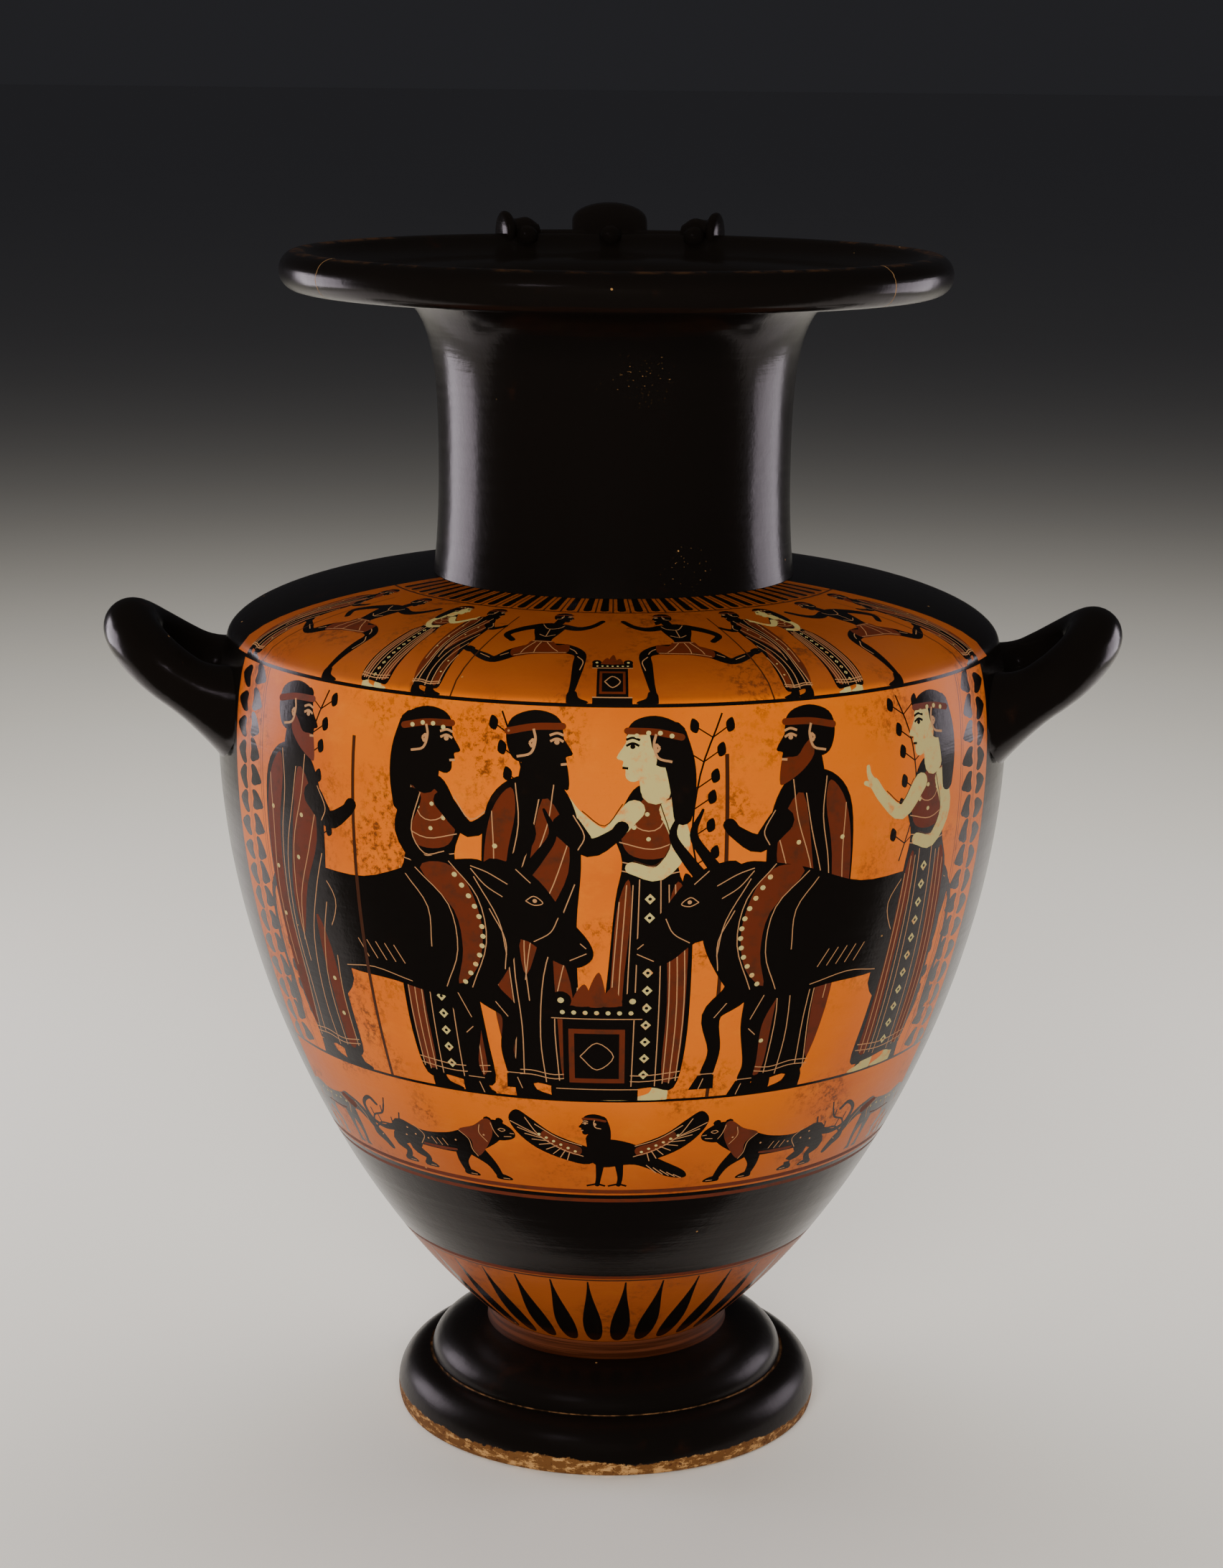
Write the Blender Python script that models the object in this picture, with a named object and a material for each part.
"""Black-figure hydria: a three-handled Greek water jar, thrown and joined as one piece of fired clay.

Metres, +Z up. The jar stands on its foot at z = 0 with its turned axis on the Z axis. The picture side
faces -Y, the upright pouring handle is at +Y and the two lifting handles are at +X and -X.
"""

import math

import bmesh
import bpy
from mathutils import Vector

# Whole jar
HEIGHT = 0.500
WALL = 0.0065
SEGMENTS = 48

# Foot
FOOT_BASE_RADIUS = 0.0884
FOOT_RING_BULGE = 0.0033
FOOT_RING_RADIUS = FOOT_BASE_RADIUS + FOOT_RING_BULGE
FOOT_RING_WIDEST_HEIGHT = 0.0066
FOOT_RING_TOP_HEIGHT = 0.0218
GROOVE_INSET = 0.0149
GROOVE_RADIUS = FOOT_RING_RADIUS - GROOVE_INSET
GROOVE_WIDTH = 0.0012
GROOVE_DEPTH = 0.0012
FOOT_DOME_RISE = 0.0147
FOOT_DOME_TOP_HEIGHT = FOOT_RING_TOP_HEIGHT + FOOT_DOME_RISE

# Red fillet between the foot and the belly
FILLET_BOTTOM_RADIUS = 0.0525
FILLET_TAPER = 0.0007
FILLET_TOP_RADIUS = FILLET_BOTTOM_RADIUS - FILLET_TAPER
FILLET_RISE = 0.0075
FILLET_TOP_HEIGHT = FOOT_DOME_TOP_HEIGHT + FILLET_RISE

# Resting ring, and the hollow under the foot
RESTING_RING_WIDTH = 0.0140
UNDERSIDE_CEILING_ABOVE_DOME = 0.0005
UNDERSIDE_CEILING_HEIGHT = FOOT_DOME_TOP_HEIGHT + UNDERSIDE_CEILING_ABOVE_DOME
UNDERSIDE_CEILING_INSET = 0.0165
UNDERSIDE_CEILING_RADIUS = FILLET_BOTTOM_RADIUS - UNDERSIDE_CEILING_INSET

# Belly and shoulder
BELLY_RADIUS = 0.1655
BELLY_WIDEST_HEIGHT = 0.3050
SHOULDER_EDGE_INSET = 0.0042
SHOULDER_EDGE_RADIUS = BELLY_RADIUS - SHOULDER_EDGE_INSET
SHOULDER_EDGE_RISE = 0.0370
SHOULDER_EDGE_HEIGHT = BELLY_WIDEST_HEIGHT + SHOULDER_EDGE_RISE
FLOOR_THICKNESS = 0.0090
FLOOR_HEIGHT = UNDERSIDE_CEILING_HEIGHT + FLOOR_THICKNESS

# Neck
NECK_RADIUS = 0.0730
NECK_JOINT_FLARE = 0.0025
NECK_JOINT_RADIUS = NECK_RADIUS + NECK_JOINT_FLARE
NECK_JOINT_RISE = 0.0264
NECK_JOINT_HEIGHT = SHOULDER_EDGE_HEIGHT + NECK_JOINT_RISE
NECK_NARROWEST_RISE = 0.0416
NECK_NARROWEST_HEIGHT = NECK_JOINT_HEIGHT + NECK_NARROWEST_RISE
NECK_TOP_FLARE = 0.0150
NECK_TOP_RADIUS = NECK_RADIUS + NECK_TOP_FLARE
NECK_TOP_BELOW_CREST = 0.0190

# Lip
LIP_RADIUS = 0.1379
LIP_WIDTH = 0.0152
LIP_THICKNESS = 0.0160
DISH_DEPTH = 0.0085
THROAT_ROUNDING = 0.0045

# Lifting handles at the sides
SIDE_HANDLE_TURN = math.radians(85.0)
SIDE_HANDLE_BAR = 0.0230
SIDE_HANDLE_STAND_OUT = 0.0465
SIDE_HANDLE_SPREAD = 0.0680
SIDE_HANDLE_ROOT_BELOW_EDGE = 0.0240
SIDE_HANDLE_ROOT_HEIGHT = SHOULDER_EDGE_HEIGHT - SIDE_HANDLE_ROOT_BELOW_EDGE
SIDE_HANDLE_TIP_RISE = 0.0275
SIDE_HANDLE_FLARE = 1.55
SIDE_HANDLE_FLARE_LENGTH = 0.0200
SIDE_HANDLE_SIDES = 12
SIDE_HANDLE_SECTIONS = 15

# Upright handle at the back, set a little to the left of the middle as seen from the picture side
BACK_HANDLE_TURN = math.radians(1.3)
BACK_HANDLE_WIDTH = 0.0340
BACK_HANDLE_THICKNESS = 0.0160
BACK_HANDLE_TOP_ABOVE_CREST = 0.0130
BACK_HANDLE_TOP_OUTSIDE_LIP = 0.0165
BACK_HANDLE_START_OUTSIDE_LIP = 0.0010
BACK_HANDLE_START_TAPER = 0.80
BACK_HANDLE_TAPER_LENGTH = 0.0080
BACK_HANDLE_STAND_OFF = 0.0720
BACK_HANDLE_ROOT_INSET = 0.0343
BACK_HANDLE_ROOT_RADIUS = SHOULDER_EDGE_RADIUS - BACK_HANDLE_ROOT_INSET
BACK_HANDLE_FLARE = 1.30
BACK_HANDLE_FLARE_LENGTH = 0.0260
BACK_HANDLE_SIDES = 12
BACK_HANDLE_STEPS = (3, 6, 7)

# Arms, discs and knobs where the upright handle meets the lip
ARM_REACH = 0.0431
ARM_OUTSIDE_LIP = 0.0045
ARM_BAR = 0.0120
ARM_RISE = 0.0014
ARM_SECTIONS = 7
ARM_SIDES = 8
DISC_RADIUS = 0.0098
DISC_THICKNESS = 0.0170
DISC_RISE = -0.0005
KNOB_RADIUS = 0.0050
KNOB_INSET = 0.0117
KNOB_RING_RADIUS = LIP_RADIUS - KNOB_INSET
KNOB_RISE = -0.0013
KNOB_SPACING = 0.0380
KNOB_SIDES = 10
KNOB_RINGS = 5

# How far an added piece of clay reaches into the wall that it is joined to
JOIN_DEPTH = 0.75 * WALL

# Points along each stretch of the turned section
BELLY_STEPS = 8
UPPER_BELLY_STEPS = 3
SHOULDER_STEPS = 5
NECK_STEPS = (3, 4)
LIP_STEPS = 8
FOOT_STEPS = 7
SURFACE_SAMPLES = 60

BLACK_GLOSS = (0.014, 0.012, 0.012, 1.0)
BLACK_GLOSS_ROUGHNESS = 0.22


def clear_scene():
    for thing in list(bpy.data.objects):
        bpy.data.objects.remove(thing, do_unlink=True)


def make_material(name, colour, roughness):
    material = bpy.data.materials.new(name)
    material.use_nodes = True
    shader = material.node_tree.nodes["Principled BSDF"]
    shader.inputs["Base Color"].default_value = colour
    shader.inputs["Roughness"].default_value = roughness
    shader.inputs["Metallic"].default_value = 0.0
    return material


def cubic(start, first, second, end, steps):
    """Points along a cubic curve, with its start and without its end."""
    points = []
    for i in range(steps):
        t = i / steps
        s = 1.0 - t
        weights = (s ** 3, 3 * t * s * s, 3 * t * t * s, t ** 3)
        corners = (start, first, second, end)
        points.append(tuple(sum(w * c[k] for w, c in zip(weights, corners)) for k in range(len(start))))
    return points


def arc(centre, across, up, start, end, steps):
    """Points along an ellipse's arc, with both ends; angles in degrees from the +r direction."""
    points = []
    for i in range(steps + 1):
        angle = math.radians(start + (end - start) * i / steps)
        points.append((centre[0] + across * math.cos(angle), centre[1] + up * math.sin(angle)))
    return points


def belly_points(steps):
    """Outer side of the belly, from the fillet up to the widest place."""
    rise = BELLY_WIDEST_HEIGHT - FILLET_TOP_HEIGHT
    spread = BELLY_RADIUS - FILLET_TOP_RADIUS
    first = (FILLET_TOP_RADIUS + 0.525 * spread, FILLET_TOP_HEIGHT + 0.199 * rise)
    second = (BELLY_RADIUS, BELLY_WIDEST_HEIGHT - 0.388 * rise)
    start = (FILLET_TOP_RADIUS, FILLET_TOP_HEIGHT)
    return cubic(start, first, second, (BELLY_RADIUS, BELLY_WIDEST_HEIGHT), steps)


def upper_belly_points(steps):
    """Outer side from the widest place up to the edge of the shoulder."""
    rise = SHOULDER_EDGE_HEIGHT - BELLY_WIDEST_HEIGHT
    first = (BELLY_RADIUS, BELLY_WIDEST_HEIGHT + 0.40 * rise)
    second = (SHOULDER_EDGE_RADIUS + 0.60 * SHOULDER_EDGE_INSET, SHOULDER_EDGE_HEIGHT - 0.21 * rise)
    start = (BELLY_RADIUS, BELLY_WIDEST_HEIGHT)
    return cubic(start, first, second, (SHOULDER_EDGE_RADIUS, SHOULDER_EDGE_HEIGHT), steps)


def shoulder_points(steps):
    """Outer side from the edge of the shoulder in to the neck."""
    rise = NECK_JOINT_HEIGHT - SHOULDER_EDGE_HEIGHT
    span = SHOULDER_EDGE_RADIUS - NECK_JOINT_RADIUS
    first = (SHOULDER_EDGE_RADIUS - 0.0035 * span, SHOULDER_EDGE_HEIGHT + 0.121 * rise)
    second = (NECK_JOINT_RADIUS + 0.944 * span, NECK_JOINT_HEIGHT - 0.303 * rise)
    start = (SHOULDER_EDGE_RADIUS, SHOULDER_EDGE_HEIGHT)
    return cubic(start, first, second, (NECK_JOINT_RADIUS, NECK_JOINT_HEIGHT), steps)


def neck_points(lower_steps, upper_steps):
    """Outer side of the neck, from the shoulder up to the underside of the mouth."""
    joint = (NECK_JOINT_RADIUS, NECK_JOINT_HEIGHT)
    waist = (NECK_RADIUS, NECK_NARROWEST_HEIGHT)
    top = (NECK_TOP_RADIUS, HEIGHT - NECK_TOP_BELOW_CREST)
    below = NECK_NARROWEST_HEIGHT - NECK_JOINT_HEIGHT
    above = top[1] - NECK_NARROWEST_HEIGHT
    lower = cubic(
        joint,
        (NECK_RADIUS + 0.52 * (NECK_JOINT_RADIUS - NECK_RADIUS), NECK_JOINT_HEIGHT + 0.09 * below),
        (NECK_RADIUS, NECK_NARROWEST_HEIGHT - 0.48 * below),
        waist,
        lower_steps,
    )
    upper = cubic(
        waist,
        (NECK_RADIUS, NECK_NARROWEST_HEIGHT + 0.53 * above),
        (NECK_RADIUS + 0.113 * (NECK_TOP_RADIUS - NECK_RADIUS), top[1] - 0.10 * above),
        top,
        upper_steps,
    )
    return lower + upper


def lip_centre():
    return (LIP_RADIUS - LIP_WIDTH / 2, HEIGHT - LIP_THICKNESS / 2)


def lip_points():
    """Underside of the mouth and the round lip, over its crest and into the dish."""
    centre = lip_centre()
    span = centre[0] - NECK_TOP_RADIUS
    drop = NECK_TOP_BELOW_CREST - LIP_THICKNESS
    under = cubic(
        (NECK_TOP_RADIUS, HEIGHT - NECK_TOP_BELOW_CREST),
        (NECK_TOP_RADIUS + 0.142 * span, HEIGHT - LIP_THICKNESS - 0.20 * drop),
        (NECK_TOP_RADIUS + 0.473 * span, HEIGHT - LIP_THICKNESS),
        (centre[0], HEIGHT - LIP_THICKNESS),
        2,
    )
    return under + arc(centre, LIP_WIDTH / 2, LIP_THICKNESS / 2, -90.0, 135.0, LIP_STEPS)


def offset_inward(points):
    """The points moved by the wall's thickness to the inner side of the line through them."""
    moved = []
    for i, point in enumerate(points):
        before = points[max(i - 1, 0)]
        after = points[min(i + 1, len(points) - 1)]
        along = Vector((after[0] - before[0], after[1] - before[1])).normalized()
        moved.append((point[0] - along.y * WALL, point[1] + along.x * WALL))
    return moved


def inside_points():
    """Inner side of the jar, from the middle of its floor up to the dish of the mouth."""
    belly = offset_inward(belly_points(BELLY_STEPS) + upper_belly_points(UPPER_BELLY_STEPS))
    belly = [point for point in belly if point[1] > FLOOR_HEIGHT + 2 * WALL]
    floor = cubic(
        (0.0, FLOOR_HEIGHT),
        (0.45 * belly[0][0], FLOOR_HEIGHT),
        (0.80 * belly[0][0], FLOOR_HEIGHT + WALL / 2),
        belly[0],
        3,
    )
    shoulder = offset_inward(shoulder_points(SHOULDER_STEPS))
    shoulder = [point for point in shoulder if point[0] < SHOULDER_EDGE_RADIUS - WALL]
    shoulder.append((NECK_JOINT_RADIUS - WALL, NECK_JOINT_HEIGHT - WALL))
    throat = offset_inward(neck_points(*NECK_STEPS))
    throat = [
        point
        for point in throat
        if NECK_JOINT_HEIGHT + WALL / 2 < point[1] < HEIGHT - NECK_TOP_BELOW_CREST - WALL / 2
    ]
    centre = lip_centre()
    dish_start = arc(centre, LIP_WIDTH / 2, LIP_THICKNESS / 2, 135.0, 135.0, 1)[0]
    dish = cubic(
        throat[-1],
        (throat[-1][0] + 0.67 * THROAT_ROUNDING, HEIGHT - DISH_DEPTH - THROAT_ROUNDING),
        (NECK_TOP_RADIUS, HEIGHT - DISH_DEPTH - 0.22 * THROAT_ROUNDING),
        (LIP_RADIUS - 2.0 * LIP_WIDTH, HEIGHT - DISH_DEPTH),
        3,
    )
    rise = cubic(
        (LIP_RADIUS - 2.0 * LIP_WIDTH, HEIGHT - DISH_DEPTH),
        (LIP_RADIUS - 1.6 * LIP_WIDTH, HEIGHT - 0.94 * DISH_DEPTH),
        (dish_start[0] - 0.23 * LIP_WIDTH, dish_start[1] - 0.22 * LIP_THICKNESS),
        dish_start,
        2,
    )
    return floor + belly + shoulder + throat[:-1] + dish + rise


def foot_points():
    """Outer side of the foot, from the top of the fillet down to the resting ring."""
    ring_centre_radius = GROOVE_RADIUS + GROOVE_WIDTH
    ring_half_height = FOOT_RING_TOP_HEIGHT - FOOT_RING_WIDEST_HEIGHT
    ring_half_width = FOOT_RING_RADIUS - ring_centre_radius
    low = -math.degrees(math.asin(min(1.0, FOOT_RING_WIDEST_HEIGHT / ring_half_height)))
    ring = arc(
        (ring_centre_radius, FOOT_RING_WIDEST_HEIGHT), ring_half_width, ring_half_height, 90.0, low, FOOT_STEPS
    )
    ring[-1] = (FOOT_BASE_RADIUS, 0.0)
    dome_rise = FOOT_DOME_TOP_HEIGHT - FOOT_RING_TOP_HEIGHT
    dome = cubic(
        (FILLET_BOTTOM_RADIUS, FOOT_DOME_TOP_HEIGHT),
        (FILLET_BOTTOM_RADIUS + 0.55 * (GROOVE_RADIUS - FILLET_BOTTOM_RADIUS), FOOT_DOME_TOP_HEIGHT),
        (GROOVE_RADIUS, FOOT_RING_TOP_HEIGHT + 0.55 * dome_rise),
        (GROOVE_RADIUS, FOOT_RING_TOP_HEIGHT),
        4,
    )
    groove = [
        (GROOVE_RADIUS, FOOT_RING_TOP_HEIGHT - GROOVE_DEPTH),
        (GROOVE_RADIUS + GROOVE_WIDTH, FOOT_RING_TOP_HEIGHT - GROOVE_DEPTH),
    ]
    return dome + groove + ring


def underside_points():
    """Resting ring and the hollow under the foot, in to the axis."""
    inner = FOOT_BASE_RADIUS - RESTING_RING_WIDTH
    span = inner - UNDERSIDE_CEILING_RADIUS
    hollow = cubic(
        (inner, 0.0),
        (inner - 0.052 * span, 0.55 * UNDERSIDE_CEILING_HEIGHT),
        (UNDERSIDE_CEILING_RADIUS + 0.208 * span, UNDERSIDE_CEILING_HEIGHT),
        (UNDERSIDE_CEILING_RADIUS, UNDERSIDE_CEILING_HEIGHT),
        3,
    )
    return hollow + [(UNDERSIDE_CEILING_RADIUS, UNDERSIDE_CEILING_HEIGHT), (0.0, UNDERSIDE_CEILING_HEIGHT)]


def jar_profile():
    """The whole section: up the inner side, over the lip, and down the outer side to the underside."""
    outside = belly_points(BELLY_STEPS) + upper_belly_points(UPPER_BELLY_STEPS)
    outside += shoulder_points(SHOULDER_STEPS) + neck_points(*NECK_STEPS) + lip_points()
    return inside_points() + outside[::-1] + foot_points() + underside_points()


def outline_at_height(height):
    """Radius and outward slope of the belly's outer side at this height."""
    points = belly_points(SURFACE_SAMPLES) + upper_belly_points(SURFACE_SAMPLES)
    points.append((SHOULDER_EDGE_RADIUS, SHOULDER_EDGE_HEIGHT))
    for low, high in zip(points, points[1:]):
        if low[1] <= height <= high[1]:
            share = (height - low[1]) / (high[1] - low[1])
            along = Vector((high[0] - low[0], high[1] - low[1])).normalized()
            return low[0] + share * (high[0] - low[0]), Vector((along.y, -along.x))
    return BELLY_RADIUS, Vector((1.0, 0.0))


def shoulder_at_radius(radius):
    """Height and outward direction of the shoulder at this radius."""
    points = shoulder_points(SURFACE_SAMPLES) + [(NECK_JOINT_RADIUS, NECK_JOINT_HEIGHT)]
    for outer, inner in zip(points, points[1:]):
        if inner[0] <= radius <= outer[0]:
            share = (radius - outer[0]) / (inner[0] - outer[0])
            along = Vector((inner[0] - outer[0], inner[1] - outer[1])).normalized()
            return outer[1] + share * (inner[1] - outer[1]), Vector((along.y, -along.x))
    return NECK_JOINT_HEIGHT, Vector((0.0, 1.0))


def mesh_object(name, vertices, faces):
    mesh = bpy.data.meshes.new(name)
    build = bmesh.new()
    corners = [build.verts.new(vertex) for vertex in vertices]
    for face in faces:
        build.faces.new([corners[i] for i in face])
    bmesh.ops.recalc_face_normals(build, faces=build.faces[:])
    build.to_mesh(mesh)
    build.free()
    thing = bpy.data.objects.new(name, mesh)
    bpy.context.collection.objects.link(thing)
    return thing


def swept_bar(name, path, across, widths, thicknesses, sides):
    """A closed bar along the path: elliptical sections, wide along the 'across' directions."""
    vertices = []
    for i, point in enumerate(path):
        along = (path[min(i + 1, len(path) - 1)] - path[max(i - 1, 0)]).normalized()
        wide = (across[i] - along * across[i].dot(along)).normalized()
        thick = along.cross(wide)
        for j in range(sides):
            angle = 2 * math.pi * j / sides
            offset = wide * (widths[i] / 2 * math.cos(angle)) + thick * (thicknesses[i] / 2 * math.sin(angle))
            vertices.append(point + offset)
    faces = [list(range(sides))]
    for i in range(len(path) - 1):
        for j in range(sides):
            k = (j + 1) % sides
            faces.append([i * sides + j, i * sides + k, (i + 1) * sides + k, (i + 1) * sides + j])
    faces.append([(len(path) - 1) * sides + j for j in range(sides)])
    return mesh_object(name, vertices, faces)


def flare(distance, length, most):
    """How much wider a bar is at this distance from the wall that it grows from."""
    return 1.0 + (most - 1.0) * max(0.0, 1.0 - distance / length) ** 2


def lengths_along(path):
    run = [0.0]
    for a, b in zip(path, path[1:]):
        run.append(run[-1] + (b - a).length)
    return run


def side_handle(name, side):
    """One lifting handle: a round bar in a horseshoe that turns up towards its tip."""
    radius, outward = outline_at_height(SIDE_HANDLE_ROOT_HEIGHT)
    half_turn = math.asin(SIDE_HANDLE_SPREAD / 2 / radius)
    root = Vector((radius * math.cos(half_turn), radius * math.sin(half_turn), SIDE_HANDLE_ROOT_HEIGHT))
    inward = Vector((outward.x * math.cos(half_turn), outward.x * math.sin(half_turn), outward.y))
    start = root - inward * JOIN_DEPTH
    reach = BELLY_RADIUS + SIDE_HANDLE_STAND_OUT - SIDE_HANDLE_BAR / 2
    tip = Vector((reach, 0.0, SIDE_HANDLE_ROOT_HEIGHT + SIDE_HANDLE_TIP_RISE))
    bend = Vector((start.x, start.y, 0.0)).normalized() * 0.60 * (tip.x - start.x)
    rise = tip.z - start.z
    half = SIDE_HANDLE_SECTIONS // 2
    leg = cubic(
        start,
        start + bend + Vector((0.0, 0.0, 0.30 * rise)),
        tip + Vector((0.0, 0.62 * root.y, -0.04 * rise)),
        tip,
        half,
    )
    leg = [Vector(point) for point in leg]
    turn = side * SIDE_HANDLE_TURN - math.pi / 2
    mirrored = [Vector((point.x, -point.y, point.z)) for point in reversed(leg)]
    path = leg + [tip] + mirrored
    path = [
        Vector(
            (
                point.x * math.cos(turn) - point.y * math.sin(turn),
                point.x * math.sin(turn) + point.y * math.cos(turn),
                point.z,
            )
        )
        for point in path
    ]
    run = lengths_along(path)
    growth = [
        flare(min(s, run[-1] - s) - JOIN_DEPTH, SIDE_HANDLE_FLARE_LENGTH, SIDE_HANDLE_FLARE) for s in run
    ]
    sizes = [SIDE_HANDLE_BAR * g for g in growth]
    upright = [Vector((0.0, 0.0, 1.0))] * len(path)
    return swept_bar(name, path, upright, sizes, sizes, SIDE_HANDLE_SIDES)


def back_handle():
    """The pouring handle: a broad bar from the lip, out and down to the shoulder."""
    height, outward = shoulder_at_radius(BACK_HANDLE_ROOT_RADIUS)
    root = Vector((0.0, BACK_HANDLE_ROOT_RADIUS, height))
    outward_direction = Vector((0.0, outward.x, outward.y))
    end = root - outward_direction * JOIN_DEPTH
    centre = lip_centre()
    start = Vector((0.0, centre[0] + BACK_HANDLE_START_OUTSIDE_LIP, centre[1]))
    top_height = HEIGHT + BACK_HANDLE_TOP_ABOVE_CREST - BACK_HANDLE_THICKNESS / 2
    outer = NECK_RADIUS + BACK_HANDLE_STAND_OFF + BACK_HANDLE_THICKNESS / 2
    drop = HEIGHT - height
    top = Vector((0.0, centre[0] + BACK_HANDLE_TOP_OUTSIDE_LIP, top_height))
    back = Vector((0.0, outer, height + 0.625 * drop))
    up = Vector((0.0, 0.0, 1.0))
    outwards = Vector((0.0, 1.0, 0.0))
    first_bend = 0.30 * BACK_HANDLE_THICKNESS
    pieces = (
        (start, start + (up + outwards) * (0.7 * first_bend), top - outwards * first_bend, top),
        (top, top + outwards * (2 * first_bend), back + up * (0.208 * drop), back),
        (back, back - up * (0.277 * drop), end + outward_direction * (0.346 * drop), end),
    )
    path = []
    for (first, second, third, last), steps in zip(pieces, BACK_HANDLE_STEPS):
        path += [Vector(point) for point in cubic(first, second, third, last, steps)]
    path.append(end)
    run = lengths_along(path)
    growth = [flare(run[-1] - s - JOIN_DEPTH, BACK_HANDLE_FLARE_LENGTH, BACK_HANDLE_FLARE) for s in run]
    widths = [BACK_HANDLE_WIDTH * g for g in growth]
    missing = [(1.0 - BACK_HANDLE_START_TAPER) * max(0.0, 1.0 - s / BACK_HANDLE_TAPER_LENGTH) for s in run]
    thicknesses = [BACK_HANDLE_THICKNESS * g * (1.0 - m) for g, m in zip(growth, missing)]
    sideways = [Vector((1.0, 0.0, 0.0))] * len(path)
    return swept_bar("back_handle_shape", path, sideways, widths, thicknesses, BACK_HANDLE_SIDES)


def handle_arms():
    """The low bar that hugs the lip on both sides of the upright handle."""
    radius = lip_centre()[0] + ARM_OUTSIDE_LIP
    reach = ARM_REACH / radius
    height = HEIGHT + ARM_RISE - ARM_BAR / 2
    path = []
    for i in range(ARM_SECTIONS):
        angle = reach * (2 * i / (ARM_SECTIONS - 1) - 1)
        path.append(Vector((radius * math.sin(angle), radius * math.cos(angle), height)))
    sizes = [ARM_BAR] * len(path)
    upright = [Vector((0.0, 0.0, 1.0))] * len(path)
    return swept_bar("handle_arm_shape", path, upright, sizes, sizes, ARM_SIDES)


def handle_disc(name, side):
    """The spool at one end of the arms, set upright across the lip, its disc outermost."""
    radius = lip_centre()[0] + ARM_OUTSIDE_LIP
    angle = side * ARM_REACH / radius
    centre = Vector((radius * math.sin(angle), radius * math.cos(angle), HEIGHT + DISC_RISE))
    along = Vector((math.cos(angle), -math.sin(angle), 0.0)) * side
    profile = ((-0.60, 0.45), (-0.30, 0.76), (0.06, 0.70), (0.22, 1.0), (0.38, 1.0), (0.46, 0.55))
    path = [centre + along * (share * DISC_THICKNESS) for share, _ in profile]
    sizes = [2 * DISC_RADIUS * width for _, width in profile]
    upright = [Vector((0.0, 0.0, 1.0))] * len(path)
    return swept_bar(name, path, upright, sizes, sizes, KNOB_SIDES)


def lip_knob(name, offset):
    """A small round knob on the inner side of the lip."""
    angle = offset / KNOB_RING_RADIUS
    place = Vector((KNOB_RING_RADIUS * math.sin(angle), KNOB_RING_RADIUS * math.cos(angle), HEIGHT + KNOB_RISE))
    mesh = bpy.data.meshes.new(name)
    build = bmesh.new()
    bmesh.ops.create_uvsphere(build, u_segments=KNOB_SIDES, v_segments=KNOB_RINGS, radius=KNOB_RADIUS)
    bmesh.ops.translate(build, vec=place, verts=build.verts)
    build.to_mesh(mesh)
    build.free()
    thing = bpy.data.objects.new(name, mesh)
    bpy.context.collection.objects.link(thing)
    return thing


def turned_jar():
    """The thrown jar: its section turned round the Z axis by a Screw modifier."""
    profile = jar_profile()
    mesh = bpy.data.meshes.new("hydria")
    points = [(radius, 0.0, height) for radius, height in profile]
    edges = [(i, i + 1) for i in range(len(points) - 1)]
    mesh.from_pydata(points, edges, [])
    jar = bpy.data.objects.new("hydria", mesh)
    bpy.context.collection.objects.link(jar)
    turn = jar.modifiers.new("Turned on the wheel", "SCREW")
    turn.axis = "Z"
    turn.angle = 2 * math.pi
    turn.steps = SEGMENTS
    turn.render_steps = SEGMENTS
    turn.use_merge_vertices = True
    turn.merge_threshold = 0.0001
    return jar


def turn_back_group(pieces):
    for piece in pieces:
        piece.rotation_euler.z = BACK_HANDLE_TURN


def join_on(jar, piece):
    """Joins an added piece of clay to the jar and keeps its own shape as a hidden helper."""
    piece.hide_render = True
    piece.display_type = "WIRE"
    join = jar.modifiers.new("Joined " + piece.name, "BOOLEAN")
    join.operation = "UNION"
    join.solver = "EXACT"
    join.object = piece


def main():
    clear_scene()
    jar = turned_jar()
    side_handles = [side_handle("right_handle_shape", 1), side_handle("left_handle_shape", -1)]
    back_group = [lip_knob(f"knob_{i + 1}_shape", KNOB_SPACING * (i - 1)) for i in range(3)]
    back_group += [handle_arms(), handle_disc("right_disc_shape", 1), handle_disc("left_disc_shape", -1)]
    back_group.append(back_handle())
    turn_back_group(back_group)
    for piece in side_handles + back_group:
        join_on(jar, piece)
    jar.data.materials.append(make_material("black gloss", BLACK_GLOSS, BLACK_GLOSS_ROUGHNESS))


main()
